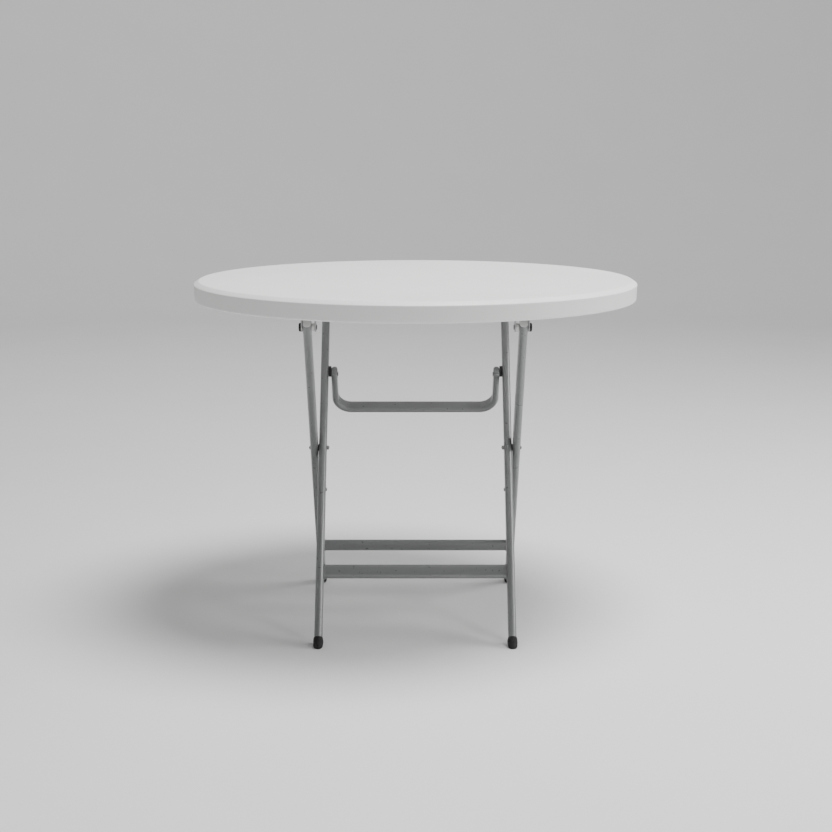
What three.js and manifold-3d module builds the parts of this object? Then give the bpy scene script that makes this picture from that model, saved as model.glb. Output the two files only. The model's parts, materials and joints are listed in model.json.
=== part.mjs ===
// Round folding table: a blow-moulded top on two crossed leg frames of flat-oval steel tube.
// Millimetres, +Z up. The origin is on the floor, below the centre of the top.
// The legs lean in the YZ plane: the outer frame's feet are at the back (+Y) and the inner frame's at
// the front.

import * as THREE from "three";
import { mergeVertices } from "three/addons/utils/BufferGeometryUtils.js";
import Module from "manifold-3d";

const wasm = await Module();
wasm.setup();

// Driving dimensions -------------------------------------------------------------------------

const GAP = 0.3; // left between pieces that touch

const TABLE_HEIGHT = 740;
const TOP_RADIUS = 470;
const TOP_THICKNESS = 41;
const TOP_BEVEL_WIDTH = 11;
const TOP_BEVEL_DROP = 7.5;
const TOP_SKIN = 4; // wall of the blow-moulded panel
const VENT_RADIUS = 4; // blow hole in the middle of the underside

const LEAN = THREE.MathUtils.degToRad(33.4); // of each frame from the vertical
const CROSSING_HEIGHT = 371; // of the two pivot bolts
const OUTER_LEG_X = 219.5;
const INNER_LEG_X = 201;

const TUBE_WIDTH = 17; // along X
const TUBE_DEPTH = 30; // across the leg, in its plane of motion
const TUBE_WALL = 1.5;
const ARC_STEPS = 8; // facets of each half-round edge of a tube

const OUTER_TOP_REACH = 356; // from the crossing to the cut end of the tube
const INNER_TOP_REACH = 325;
const HINGE_REACH = 343.8; // from the crossing to the hinge pins of the top
const TOP_BAR_REACH = 317; // from the crossing to the bar that holds up the back of the top
const TOP_BAR_RADIUS = 8;
const PLUG_HEAD = 1; // of the plug that closes the top end of a tube
const PLUG_SPIGOT = 7;

const STRETCHER_WIDTH = 30; // along the leg
const STRETCHER_THICKNESS = 15;
const OUTER_STRETCHER_REACH = -317.1;
const INNER_STRETCHER_REACH = -281.8;

const FOOT_HEAD = 18.2; // along the leg, from the floor to the end of the tube
const FOOT_SPIGOT = 25; // of the foot, up inside the tube
const FOOT_PROUD = 1.5; // of the head beyond the tube, all round

const BOLT_RADIUS = 2.8;
const BOLT_HEAD_RADIUS = 4.2;
const BOLT_HEAD_HEIGHT = 3;
const NUT_RADIUS = 4.8;
const NUT_HEIGHT = 4;
const WASHER_RADIUS = 7.5;
const RIVET_REACH = -97.3; // on the inner legs, below the crossing
const RIVET_RADIUS = 4;
const RIVET_SHANK = 2.5;
const RIVET_PROUD = 2.4;

const BAR_THICKNESS = 13.5; // of the swing bar's tube, in the plane of the U
const BAR_DEPTH = 30;
const BAR_WALL = 1.2;
const BEND_STEPS = 9; // facets of each bend
const BAR_PIVOT_REACH = 175.9; // from the crossing, along the inner leg
const BAR_ARM_X = 179.5; // middle of each arm
const BAR_DROP = 100; // from the pivots to the middle of the cross bar
const BAR_BEND = 36; // radius of the middle of each bend
const BAR_END = 7; // of each arm's tube above its pivot
const BAR_PLUG_HEAD = 4; // height of the rounded plug in each end
const BAR_PLUG_SPIGOT = 3;
const BAR_PLUG_ROUND = 7.5; // radius of the plug's top, seen from the front
const BAR_PIN_RADIUS = 3.25;
const PIVOT_PLATE_WIDTH = 13; // oblong plate between each arm and its leg
const PIVOT_PLATE_LENGTH = 25; // along the leg
const PIVOT_PLATE_RISE = 6.5; // of the plate's middle above the pivot

const BRACKET_OUTER_X = 232; // outer face of the outer cheek
const BRACKET_INNER_X = 201; // inner face of the inner cheek
const BRACKET_SHEET = 3;
const BRACKET_DEPTH = 28; // along Y
const BRACKET_LIP = 9; // from the hinge pin down to the end of the cheeks
const BRACKET_FLANGE = 24; // how far the flanges reach out on each side
const HINGE_PIN_RADIUS = 3.5;
const HINGE_HEAD_RADIUS = 9; // on the outside of each bracket
const HINGE_HEAD_HEIGHT = 4.5;
const HINGE_SPACER_RADIUS = 8;

const CATCH_X = 150;
const CATCH_WIDTH = 30;
const CATCH_ROOF = 12; // of the roof in front of the middle of the bar
const CATCH_STOP = 9; // thickness of the wall behind the bar
const CATCH_CLEARANCE = 0.5;
const CATCH_PLATE = 4;
const CATCH_EAR = 18; // how far the plate reaches out on each side

const SCREW_RADIUS = 2.6;
const SCREW_HEAD_RADIUS = 5;
const SCREW_HEAD_HEIGHT = 2.4;
const SCREW_LENGTH = 9;

// Values that follow from them ---------------------------------------------------------------

const UNDERSIDE = TABLE_HEIGHT - TOP_THICKNESS;
const SIDES = [
  ["left", -1],
  ["right", 1],
];
const OUTER_LEAN = LEAN; // turns +Z towards -Y
const INNER_LEAN = -LEAN;

// A point on a leg's axis, at a reach from the crossing: [y, z].
function onLeg(lean, reach) {
  return [-reach * Math.sin(lean), CROSSING_HEIGHT + reach * Math.cos(lean)];
}

const [HINGE_Y, HINGE_Z] = onLeg(OUTER_LEAN, HINGE_REACH);
const [TOP_BAR_Y, TOP_BAR_Z] = onLeg(INNER_LEAN, TOP_BAR_REACH);
const FLOOR_REACH = -CROSSING_HEIGHT / Math.cos(LEAN);
const CATCH_SCREW_OFFSETS = [-1, 1].map((side) => side * (CATCH_WIDTH / 2 + CATCH_EAR / 2));
const CATCH_SCREW_Y = TOP_BAR_Y + 4;

// Materials ----------------------------------------------------------------------------------

function paint(color, roughness, metalness) {
  return new THREE.MeshStandardMaterial({ color, roughness, metalness });
}

const topPlastic = () => paint(0xe9e9e7, 0.55, 0);
const framePaint = () => paint(0x858887, 0.45, 0.3);
const zincSteel = () => paint(0x9a9c9b, 0.4, 0.8);
const blackPlastic = () => paint(0x1b1b1b, 0.6, 0);
const greyPlastic = () => paint(0xb9bab6, 0.6, 0);
const rubber = () => paint(0x141414, 0.85, 0);

// Geometry helpers ---------------------------------------------------------------------------

// Shared vertices merged, and triangles that have no area left out.
function tidy(geometry) {
  const bare = new THREE.BufferGeometry();
  bare.setAttribute("position", geometry.getAttribute("position"));
  bare.setIndex(geometry.getIndex());
  const merged = mergeVertices(bare, 1e-3);
  const index = [];
  for (let i = 0; i < merged.index.count; i += 3) {
    const [a, b, c] = [0, 1, 2].map((k) => merged.index.getX(i + k));
    if (a !== b && b !== c && c !== a) index.push(a, b, c);
  }
  merged.setIndex(index);
  return merged;
}

function solid(geometry) {
  const g = tidy(geometry);
  const vertProperties = g.getAttribute("position").array;
  const triVerts = new Uint32Array(g.getIndex().array);
  return new wasm.Manifold(new wasm.Mesh({ numProp: 3, vertProperties, triVerts }));
}

function geometryOf(made) {
  const mesh = made.getMesh();
  const geometry = new THREE.BufferGeometry();
  geometry.setAttribute("position", new THREE.BufferAttribute(new Float32Array(mesh.vertProperties), 3));
  geometry.setIndex(new THREE.BufferAttribute(new Uint32Array(mesh.triVerts), 1));
  return geometry;
}

// A geometry less others, all in the same frame.
function cut(geometry, ...tools) {
  const made = tools.reduce((left, tool) => left.subtract(solid(tool)), solid(geometry));
  return geometryOf(made);
}

function join(geometry, ...others) {
  const made = others.reduce((sum, other) => sum.add(solid(other)), solid(geometry));
  return geometryOf(made);
}

// An outline with half-round ends, its length along the second axis.
function stadium(width, length, inset = 0) {
  const r = width / 2 - inset;
  const straight = (length - width) / 2;
  const points = [];
  for (const [end, start] of [[1, 0], [-1, Math.PI]]) {
    for (let i = 0; i <= ARC_STEPS; i += 1) {
      const a = start + (Math.PI * i) / ARC_STEPS;
      points.push(new THREE.Vector2(r * Math.cos(a), end * straight + r * Math.sin(a)));
    }
  }
  return points;
}

// A flat-oval tube along Z from one reach to another, open at both ends.
function ovalTube(width, depth, wall, from, to) {
  const shape = new THREE.Shape(stadium(width, depth));
  shape.holes.push(new THREE.Path(stadium(width, depth, wall)));
  const geometry = new THREE.ExtrudeGeometry(shape, { depth: to - from, bevelEnabled: false });
  return geometry.translate(0, 0, from);
}

function ovalBar(width, depth, from, to) {
  const shape = new THREE.Shape(stadium(width, depth));
  const geometry = new THREE.ExtrudeGeometry(shape, { depth: to - from, bevelEnabled: false });
  return geometry.translate(0, 0, from);
}

// A round rod along X, centred on the origin.
function rodX(radius, length, sides = 20) {
  return new THREE.CylinderGeometry(radius, radius, length, sides).rotateZ(Math.PI / 2);
}

// A stepped round piece along X, from a list of [x, radius] that starts and ends on the axis.
function turnedX(profile, sides = 20) {
  const points = profile.map(([x, r]) => new THREE.Vector2(r, x));
  return new THREE.LatheGeometry(points, sides).rotateZ(-Math.PI / 2);
}

function addMesh(group, name, geometry, material, x = 0, y = 0, z = 0) {
  const mesh = new THREE.Mesh(tidy(geometry), material);
  mesh.name = name;
  mesh.position.set(x, y, z);
  group.add(mesh);
  return mesh;
}

// Top ----------------------------------------------------------------------------------------

// One hollow panel: the outer skin, and the cavity that opens through the blow hole.
function topGeometry() {
  const [r, h, t] = [TOP_RADIUS, TABLE_HEIGHT, TOP_SKIN];
  const outer = [
    [VENT_RADIUS, UNDERSIDE],
    [r - 6, UNDERSIDE],
    [r - 2.6, UNDERSIDE + 1.5],
    [r - 1.2, UNDERSIDE + 5],
    [r, h - TOP_BEVEL_DROP - 1.5],
    [r - 0.8, h - TOP_BEVEL_DROP + 0.6],
    [r - 3, h - TOP_BEVEL_DROP + 2.4],
    [r - TOP_BEVEL_WIDTH + 2, h - 0.6],
    [r - TOP_BEVEL_WIDTH, h],
    [0, h],
  ];
  const cavity = [
    [0, h - t],
    [r - TOP_BEVEL_WIDTH - t, h - t],
    [r - t - 1, h - TOP_BEVEL_DROP - t],
    [r - t - 2, UNDERSIDE + 9],
    [r - t - 6, UNDERSIDE + t],
    [VENT_RADIUS, UNDERSIDE + t],
    [VENT_RADIUS, UNDERSIDE],
  ];
  const points = [...outer, ...cavity].map(([x, y]) => new THREE.Vector2(x, y));
  return new THREE.LatheGeometry(points, 96).rotateX(Math.PI / 2);
}

// Screws stand in blind pockets of the panel: the pocket is a plug of solid plastic with a hole.
function screwPocket(x, y) {
  const boss = new THREE.CylinderGeometry(SCREW_RADIUS + 3, SCREW_RADIUS + 3, TOP_THICKNESS - 3, 16);
  return boss.rotateX(Math.PI / 2).translate(x, y, UNDERSIDE + (TOP_THICKNESS - 3) / 2);
}

function screwHole(x, y) {
  const depth = SCREW_LENGTH + 1;
  const hole = new THREE.CylinderGeometry(SCREW_RADIUS + GAP, SCREW_RADIUS + GAP, depth, 16);
  return hole.rotateX(Math.PI / 2).translate(x, y, UNDERSIDE + depth / 2 - 1);
}

// A pan-head screw whose head's underside is at z = 0 and whose shank points up.
function screwGeometry() {
  const points = [
    [0, -SCREW_HEAD_HEIGHT],
    [SCREW_HEAD_RADIUS - 1.6, -SCREW_HEAD_HEIGHT],
    [SCREW_HEAD_RADIUS, -SCREW_HEAD_HEIGHT + 1.4],
    [SCREW_HEAD_RADIUS, 0],
    [SCREW_RADIUS, 0],
    [SCREW_RADIUS, SCREW_LENGTH - 2],
    [0, SCREW_LENGTH],
  ].map(([x, y]) => new THREE.Vector2(x, y));
  return new THREE.LatheGeometry(points, 16).rotateX(Math.PI / 2);
}

// Hinge bracket: two cheeks, a web under the panel and a flange to each side, pressed from one sheet.
const BRACKET_SCREWS = [
  BRACKET_OUTER_X + BRACKET_FLANGE / 2 + 1,
  BRACKET_INNER_X - BRACKET_FLANGE / 2 - 1,
];

function bracketGeometry() {
  const cheekTop = UNDERSIDE - GAP;
  const cheekHeight = cheekTop - HINGE_Z;
  const half = BRACKET_DEPTH / 2;
  const outline = new THREE.Shape();
  outline.moveTo(-half, cheekHeight);
  outline.lineTo(-BRACKET_LIP, 0);
  outline.absarc(0, 0, BRACKET_LIP, Math.PI, 2 * Math.PI, false);
  outline.lineTo(half, cheekHeight);
  outline.closePath();
  const extrude = { depth: BRACKET_SHEET, bevelEnabled: false, curveSegments: 16 };
  const cheek = () => new THREE.ExtrudeGeometry(outline, extrude).rotateX(Math.PI / 2).rotateZ(Math.PI / 2);
  const innerCheek = cheek().translate(BRACKET_INNER_X, 0, HINGE_Z);
  const outerCheek = cheek().translate(BRACKET_OUTER_X - BRACKET_SHEET, 0, HINGE_Z);
  const plateWidth = BRACKET_OUTER_X - BRACKET_INNER_X + 2 * BRACKET_FLANGE;
  const plate = new THREE.BoxGeometry(plateWidth, BRACKET_DEPTH, BRACKET_SHEET);
  plate.translate((BRACKET_OUTER_X + BRACKET_INNER_X) / 2, 0, cheekTop - BRACKET_SHEET / 2);
  const holes = BRACKET_SCREWS.map((x) =>
    new THREE.CylinderGeometry(SCREW_RADIUS + GAP, SCREW_RADIUS + GAP, 20, 16)
      .rotateX(Math.PI / 2)
      .translate(x, 0, cheekTop),
  );
  const pinHole = rodX(HINGE_PIN_RADIUS + GAP, 80).translate(BRACKET_INNER_X + 10, 0, HINGE_Z);
  return cut(join(innerCheek, outerCheek, plate), ...holes, pinHole);
}

// Catch: a moulded hook over the top bar of the inner frame. Its roof follows the bar's arc about the
// crossing, so the frame can swing forward out of it, and its back wall stops the legs from spreading.
function catchGeometry() {
  const roof = TOP_BAR_REACH + TOP_BAR_RADIUS + CATCH_CLEARANCE;
  const front = TOP_BAR_Y - CATCH_ROOF;
  const wall = TOP_BAR_Y + TOP_BAR_RADIUS + CATCH_CLEARANCE;
  const back = wall + CATCH_STOP;
  const top = UNDERSIDE - GAP;
  const bottom = TOP_BAR_Z - TOP_BAR_RADIUS - 2;
  const shape = new THREE.Shape();
  shape.moveTo(front, top);
  const steps = 8;
  for (let i = 0; i <= steps; i += 1) {
    const y = front + ((wall - front) * i) / steps;
    shape.lineTo(y, CROSSING_HEIGHT + Math.sqrt(roof * roof - y * y));
  }
  shape.lineTo(wall, bottom + 2);
  shape.lineTo(wall + 2, bottom);
  shape.lineTo(back - 2, bottom);
  shape.lineTo(back, bottom + 2);
  shape.lineTo(back, top);
  shape.closePath();
  const block = new THREE.ExtrudeGeometry(shape, { depth: CATCH_WIDTH, bevelEnabled: false });
  block.rotateX(Math.PI / 2).rotateZ(Math.PI / 2).translate(-CATCH_WIDTH / 2, 0, 0);
  const holes = CATCH_SCREW_OFFSETS.map((x) =>
    new THREE.CylinderGeometry(SCREW_RADIUS + GAP, SCREW_RADIUS + GAP, 20, 16)
      .rotateX(Math.PI / 2)
      .translate(x, CATCH_SCREW_Y, top),
  );
  const plate = new THREE.BoxGeometry(CATCH_WIDTH + 2 * CATCH_EAR, back - front, CATCH_PLATE);
  plate.translate(0, (back + front) / 2, top - CATCH_PLATE / 2);
  return cut(join(block, plate), ...holes);
}

function buildTop() {
  const group = new THREE.Group();
  const pockets = [];
  for (const [, side] of SIDES) {
    BRACKET_SCREWS.forEach((x) => pockets.push([side * x, HINGE_Y]));
    CATCH_SCREW_OFFSETS.forEach((x) => pockets.push([side * CATCH_X + x, CATCH_SCREW_Y]));
  }
  const bosses = pockets.map(([x, y]) => screwPocket(x, y));
  const holes = pockets.map(([x, y]) => screwHole(x, y));
  addMesh(group, "tabletop", cut(join(topGeometry(), ...bosses), ...holes), topPlastic());
  for (const [label, side] of SIDES) {
    const bracket = bracketGeometry();
    if (side < 0) bracket.rotateZ(Math.PI);
    addMesh(group, `hinge_bracket_${label}`, bracket, zincSteel(), 0, HINGE_Y, 0);
    BRACKET_SCREWS.forEach((x, i) => {
      const z = UNDERSIDE - GAP - BRACKET_SHEET - GAP;
      addMesh(group, `bracket_screw_${label}_${i + 1}`, screwGeometry(), zincSteel(), side * x, HINGE_Y, z);
    });
    addMesh(group, `catch_${label}`, catchGeometry(), blackPlastic(), side * CATCH_X);
    CATCH_SCREW_OFFSETS.forEach((x, i) => {
      const z = UNDERSIDE - GAP - CATCH_PLATE - GAP;
      const name = `catch_screw_${label}_${i + 1}`;
      addMesh(group, name, screwGeometry(), zincSteel(), side * CATCH_X + x, CATCH_SCREW_Y, z);
    });
  }
  return group;
}

// Leg frames ---------------------------------------------------------------------------------

// What lies below the floor, in the frame of a leg that leans.
function floorBlock(lean) {
  const block = new THREE.BoxGeometry(100, 600, 100).translate(0, 0, -50 - CROSSING_HEIGHT);
  return block.rotateX(-lean);
}

// A foot: a head cut flat to the floor, and a spigot that fills the end of the tube.
function footGeometry(lean) {
  const top = FLOOR_REACH + FOOT_HEAD;
  const head = ovalBar(TUBE_WIDTH + 2 * FOOT_PROUD, TUBE_DEPTH + 2 * FOOT_PROUD, FLOOR_REACH - 15, top);
  const inset = 2 * (TUBE_WALL + GAP);
  const spigot = ovalBar(TUBE_WIDTH - inset, TUBE_DEPTH - inset, top - 1, top + FOOT_SPIGOT);
  return cut(join(head, spigot), floorBlock(lean));
}

// A plug that closes the upper end of a tube: a flat head on a spigot.
function plugGeometry(reach) {
  const inset = 2 * (TUBE_WALL + GAP);
  const top = reach + GAP + PLUG_HEAD;
  const spigot = ovalBar(TUBE_WIDTH - inset, TUBE_DEPTH - inset, reach - PLUG_SPIGOT, top);
  return join(spigot, ovalBar(TUBE_WIDTH, TUBE_DEPTH, reach + GAP, top));
}

function legGeometry(topReach, holes) {
  const tube = ovalTube(TUBE_WIDTH, TUBE_DEPTH, TUBE_WALL, FLOOR_REACH + FOOT_HEAD + GAP, topReach);
  const drills = holes.map(([reach, radius]) => rodX(radius + GAP, 60).translate(0, 0, reach));
  return drills.length ? cut(tube, ...drills) : tube;
}

// A flat-oval cross member between the inner faces of two legs.
function stretcherGeometry(legX) {
  const half = legX - TUBE_WIDTH / 2 - GAP;
  const bar = ovalTube(STRETCHER_THICKNESS, STRETCHER_WIDTH, TUBE_WALL, -half, half);
  return bar.rotateX(Math.PI / 2).rotateZ(Math.PI / 2);
}

function buildFrame({ label, lean, legX, topReach, stretcherReach, holes }) {
  const group = new THREE.Group();
  group.position.z = CROSSING_HEIGHT;
  group.rotation.x = lean;
  for (const [sideLabel, side] of SIDES) {
    const x = side * legX;
    addMesh(group, `${label}_leg_${sideLabel}`, legGeometry(topReach, holes), framePaint(), x);
    addMesh(group, `${label}_foot_${sideLabel}`, footGeometry(lean), rubber(), x);
    addMesh(group, `${label}_top_plug_${sideLabel}`, plugGeometry(topReach), greyPlastic(), x);
  }
  addMesh(group, `${label}_stretcher`, stretcherGeometry(legX), framePaint(), 0, 0, stretcherReach);
  return group;
}

// Pivots at the crossing: head outside the outer leg, washer between the legs, nut inside the inner leg.
function buildCrossing() {
  const group = new THREE.Group();
  group.position.z = CROSSING_HEIGHT;
  const outerFace = OUTER_LEG_X + TUBE_WIDTH / 2 + GAP;
  const innerFace = INNER_LEG_X - TUBE_WIDTH / 2 - GAP;
  const end = innerFace - NUT_HEIGHT - 1;
  const boltProfile = [
    [end, 0],
    [end, BOLT_RADIUS - 0.8],
    [end + 0.8, BOLT_RADIUS],
    [outerFace, BOLT_RADIUS],
    [outerFace, BOLT_HEAD_RADIUS],
    [outerFace + BOLT_HEAD_HEIGHT - 1.2, BOLT_HEAD_RADIUS],
    [outerFace + BOLT_HEAD_HEIGHT, BOLT_HEAD_RADIUS - 1.6],
    [outerFace + BOLT_HEAD_HEIGHT, 0],
  ];
  const washerFrom = INNER_LEG_X + TUBE_WIDTH / 2 + GAP;
  const washerTo = OUTER_LEG_X - TUBE_WIDTH / 2 - GAP;
  for (const [label, side] of SIDES) {
    const bolt = turnedX(boltProfile);
    const nutBody = new THREE.CylinderGeometry(NUT_RADIUS, NUT_RADIUS, NUT_HEIGHT, 6).rotateZ(Math.PI / 2);
    const nut = cut(nutBody, rodX(BOLT_RADIUS + GAP, NUT_HEIGHT + 4));
    nut.translate(innerFace - NUT_HEIGHT / 2, 0, 0);
    const washerBody = rodX(WASHER_RADIUS, washerTo - washerFrom, 28);
    const washer = cut(washerBody, rodX(BOLT_RADIUS + GAP, 10));
    washer.translate((washerFrom + washerTo) / 2, 0, 0);
    for (const geometry of [bolt, nut, washer]) {
      if (side < 0) geometry.rotateZ(Math.PI);
    }
    addMesh(group, `crossing_bolt_${label}`, bolt, blackPlastic());
    addMesh(group, `crossing_nut_${label}`, nut, zincSteel());
    addMesh(group, `crossing_washer_${label}`, washer, blackPlastic());
  }
  return group;
}

// Hinge pins run through both cheeks of a bracket and the top of an outer leg, with a broad head outside
// and a spacer between the leg and the inner cheek.
function buildHingePins() {
  const group = new THREE.Group();
  const from = BRACKET_INNER_X - GAP;
  const to = BRACKET_OUTER_X + GAP;
  const profile = [
    [from - 1.2, 0],
    [from - 1.2, HINGE_PIN_RADIUS + 0.6],
    [from, HINGE_PIN_RADIUS + 1.8],
    [from, HINGE_PIN_RADIUS],
    [to, HINGE_PIN_RADIUS],
    [to, HINGE_HEAD_RADIUS],
    [to + HINGE_HEAD_HEIGHT - 1.8, HINGE_HEAD_RADIUS],
    [to + HINGE_HEAD_HEIGHT, HINGE_HEAD_RADIUS - 2.5],
    [to + HINGE_HEAD_HEIGHT, 0],
  ];
  const spacerFrom = BRACKET_INNER_X + BRACKET_SHEET + GAP;
  const spacerTo = OUTER_LEG_X - TUBE_WIDTH / 2 - GAP;
  for (const [label, side] of SIDES) {
    const pin = turnedX(profile);
    if (side < 0) pin.rotateZ(Math.PI);
    addMesh(group, `hinge_pin_${label}`, pin, blackPlastic(), 0, HINGE_Y, HINGE_Z);
    const spacer = cut(rodX(HINGE_SPACER_RADIUS, spacerTo - spacerFrom), rodX(HINGE_PIN_RADIUS + GAP, 20));
    const x = (side * (spacerTo + spacerFrom)) / 2;
    addMesh(group, `hinge_spacer_${label}`, spacer, greyPlastic(), x, HINGE_Y, HINGE_Z);
  }
  return group;
}

// Top bar and rivets of the inner frame.
function addInnerFrameParts(group) {
  const half = INNER_LEG_X - TUBE_WIDTH / 2 - GAP;
  const barShape = new THREE.Shape().absarc(0, 0, TOP_BAR_RADIUS, 0, 2 * Math.PI, false);
  barShape.holes.push(new THREE.Path().absarc(0, 0, TOP_BAR_RADIUS - TUBE_WALL, 0, 2 * Math.PI, true));
  const extrude = { depth: 2 * half, bevelEnabled: false, curveSegments: 12 };
  const bar = new THREE.ExtrudeGeometry(barShape, extrude);
  bar.translate(0, 0, -half).rotateY(Math.PI / 2);
  addMesh(group, "inner_top_bar", bar, framePaint(), 0, 0, TOP_BAR_REACH);
  const face = INNER_LEG_X - TUBE_WIDTH / 2 - GAP;
  const profile = [
    [face - RIVET_PROUD, 0],
    [face - RIVET_PROUD, RIVET_RADIUS - 1.6],
    [face - RIVET_PROUD + 1.2, RIVET_RADIUS],
    [face, RIVET_RADIUS],
    [face, RIVET_SHANK],
    [face + 6, RIVET_SHANK],
    [face + 6, 0],
  ];
  for (const [label, side] of SIDES) {
    const rivet = turnedX(profile, 16);
    if (side < 0) rivet.rotateZ(Math.PI);
    addMesh(group, `inner_leg_rivet_${label}`, rivet, zincSteel(), 0, 0, RIVET_REACH);
  }
}

// Swing bar ----------------------------------------------------------------------------------

// Points of the bar's middle line, from one arm's end to the other, with the angle of travel at each.
// In the bar's own frame its pivots are on the X axis and it hangs to -Z.
function swingBarStations() {
  const bendX = BAR_ARM_X - BAR_BEND;
  const bendZ = BAR_BEND - BAR_DROP;
  const stations = [{ x: -BAR_ARM_X, z: BAR_END, travel: -Math.PI / 2 }];
  for (const side of [-1, 1]) {
    for (let i = 0; i <= BEND_STEPS; i += 1) {
      const turned = ((Math.PI / 2) * i) / BEND_STEPS;
      const travel = side < 0 ? turned - Math.PI / 2 : turned;
      const x = side * bendX + BAR_BEND * Math.sin(travel);
      const z = bendZ - BAR_BEND * Math.cos(travel);
      stations.push({ x, z, travel });
    }
  }
  stations.push({ x: BAR_ARM_X, z: BAR_END, travel: Math.PI / 2 });
  return stations;
}

// A flat-oval tube bent to a U, open at both ends: rings of its outer and inner outlines, then joined.
function swingBarGeometry() {
  const stations = swingBarStations();
  const outlines = [stadium(BAR_THICKNESS, BAR_DEPTH), stadium(BAR_THICKNESS, BAR_DEPTH, BAR_WALL)];
  const count = outlines[0].length;
  const positions = [];
  for (const outline of outlines) {
    for (const { x, z, travel } of stations) {
      for (const point of outline) {
        positions.push(x - Math.sin(travel) * point.x, point.y, z + Math.cos(travel) * point.x);
      }
    }
  }
  const inner = stations.length * count;
  const last = inner - count;
  const index = [];
  const quad = (p, q, r, t) => index.push(p, q, r, p, r, t);
  for (let k = 0; k < count; k += 1) {
    const next = (k + 1) % count;
    for (let ring = 0; ring < last; ring += count) {
      quad(ring + k, ring + count + k, ring + count + next, ring + next);
      quad(inner + ring + next, inner + ring + count + next, inner + ring + count + k, inner + ring + k);
    }
    quad(k, next, inner + next, inner + k);
    quad(last + next, last + k, inner + last + k, inner + last + next);
  }
  const geometry = new THREE.BufferGeometry();
  geometry.setAttribute("position", new THREE.Float32BufferAttribute(positions, 3));
  geometry.setIndex(index);
  return geometry;
}

// A plug for the end of an arm: a head rounded over from side to side, on a short spigot.
function barPlugGeometry() {
  const inset = 2 * (BAR_WALL + GAP);
  const from = BAR_END + GAP;
  const top = from + BAR_PLUG_HEAD;
  const spigot = ovalBar(BAR_THICKNESS - inset, BAR_DEPTH - inset, BAR_END - BAR_PLUG_SPIGOT, from + 1);
  const block = ovalBar(BAR_THICKNESS, BAR_DEPTH, from, top + 1);
  const round = new THREE.CylinderGeometry(BAR_PLUG_ROUND, BAR_PLUG_ROUND, BAR_DEPTH + 2, 48);
  round.translate(0, 0, top - BAR_PLUG_ROUND);
  const head = solid(block).intersect(solid(round));
  return geometryOf(head.add(solid(spigot)));
}

function buildSwingBar() {
  const group = new THREE.Group();
  const [y, z] = onLeg(INNER_LEAN, BAR_PIVOT_REACH);
  group.position.set(0, y, z);
  group.rotation.x = OUTER_LEAN;
  const hole = rodX(BAR_PIN_RADIUS + GAP, 2 * BAR_ARM_X + 60);
  addMesh(group, "swing_bar", cut(swingBarGeometry(), hole), framePaint());
  for (const [label, side] of SIDES) {
    addMesh(group, `swing_bar_plug_${label}`, barPlugGeometry(), framePaint(), side * BAR_ARM_X);
  }
  return group;
}

// An oblong plate with a hole for the pivot, its faces square to X.
function pivotPlateGeometry(thickness) {
  const shape = new THREE.Shape(stadium(PIVOT_PLATE_WIDTH, PIVOT_PLATE_LENGTH));
  const body = new THREE.ExtrudeGeometry(shape, { depth: thickness, bevelEnabled: false });
  body.translate(0, 0, -thickness / 2).rotateX(Math.PI / 2).rotateZ(Math.PI / 2);
  body.translate(0, 0, PIVOT_PLATE_RISE);
  return cut(body, rodX(BAR_PIN_RADIUS + GAP, 20));
}

// Pins and plates that carry the swing bar, on the inner faces of the inner legs.
function addSwingBarPivots(group) {
  const legFace = INNER_LEG_X - TUBE_WIDTH / 2 - GAP;
  const armFace = BAR_ARM_X + BAR_THICKNESS / 2 + GAP;
  const armInner = BAR_ARM_X - BAR_THICKNESS / 2 - GAP;
  const legOuter = INNER_LEG_X + 2;
  const profile = [
    [armInner - 1.2, 0],
    [armInner - 1.2, BAR_PIN_RADIUS + 0.6],
    [armInner, BAR_PIN_RADIUS + 1.8],
    [armInner, BAR_PIN_RADIUS],
    [legOuter, BAR_PIN_RADIUS],
    [legOuter, 0],
  ];
  for (const [label, side] of SIDES) {
    const pin = turnedX(profile);
    const plate = pivotPlateGeometry(legFace - armFace);
    plate.translate((legFace + armFace) / 2, 0, 0);
    for (const geometry of [pin, plate]) {
      if (side < 0) geometry.rotateZ(Math.PI);
    }
    addMesh(group, `swing_bar_pin_${label}`, pin, blackPlastic(), 0, 0, BAR_PIVOT_REACH);
    addMesh(group, `pivot_plate_${label}`, plate, blackPlastic(), 0, 0, BAR_PIVOT_REACH);
  }
}

// Assembly -----------------------------------------------------------------------------------

const outerFrame = buildFrame({
  label: "outer",
  lean: OUTER_LEAN,
  legX: OUTER_LEG_X,
  topReach: OUTER_TOP_REACH,
  stretcherReach: OUTER_STRETCHER_REACH,
  holes: [
    [0, BOLT_RADIUS],
    [HINGE_REACH, HINGE_PIN_RADIUS],
  ],
});
const innerFrame = buildFrame({
  label: "inner",
  lean: INNER_LEAN,
  legX: INNER_LEG_X,
  topReach: INNER_TOP_REACH,
  stretcherReach: INNER_STRETCHER_REACH,
  holes: [
    [0, BOLT_RADIUS],
    [BAR_PIVOT_REACH, BAR_PIN_RADIUS],
    [RIVET_REACH, RIVET_SHANK],
  ],
});
addInnerFrameParts(innerFrame);
addSwingBarPivots(innerFrame);

const table = new THREE.Group();
table.add(buildTop(), outerFrame, innerFrame, buildCrossing(), buildHingePins(), buildSwingBar());

export default table;
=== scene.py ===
"""A round folding table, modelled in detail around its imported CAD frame.

Metres, +Z up, floor at Z = 0. Each piece is one closed mesh that stands for one CAD node. Its outer sizes
are read from that node, and what the node doesn't show is named at the head of each section.
"""

import json
import math

import bmesh
import bpy
from mathutils import Matrix, Vector
from mathutils.geometry import delaunay_2d_cdt


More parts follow.
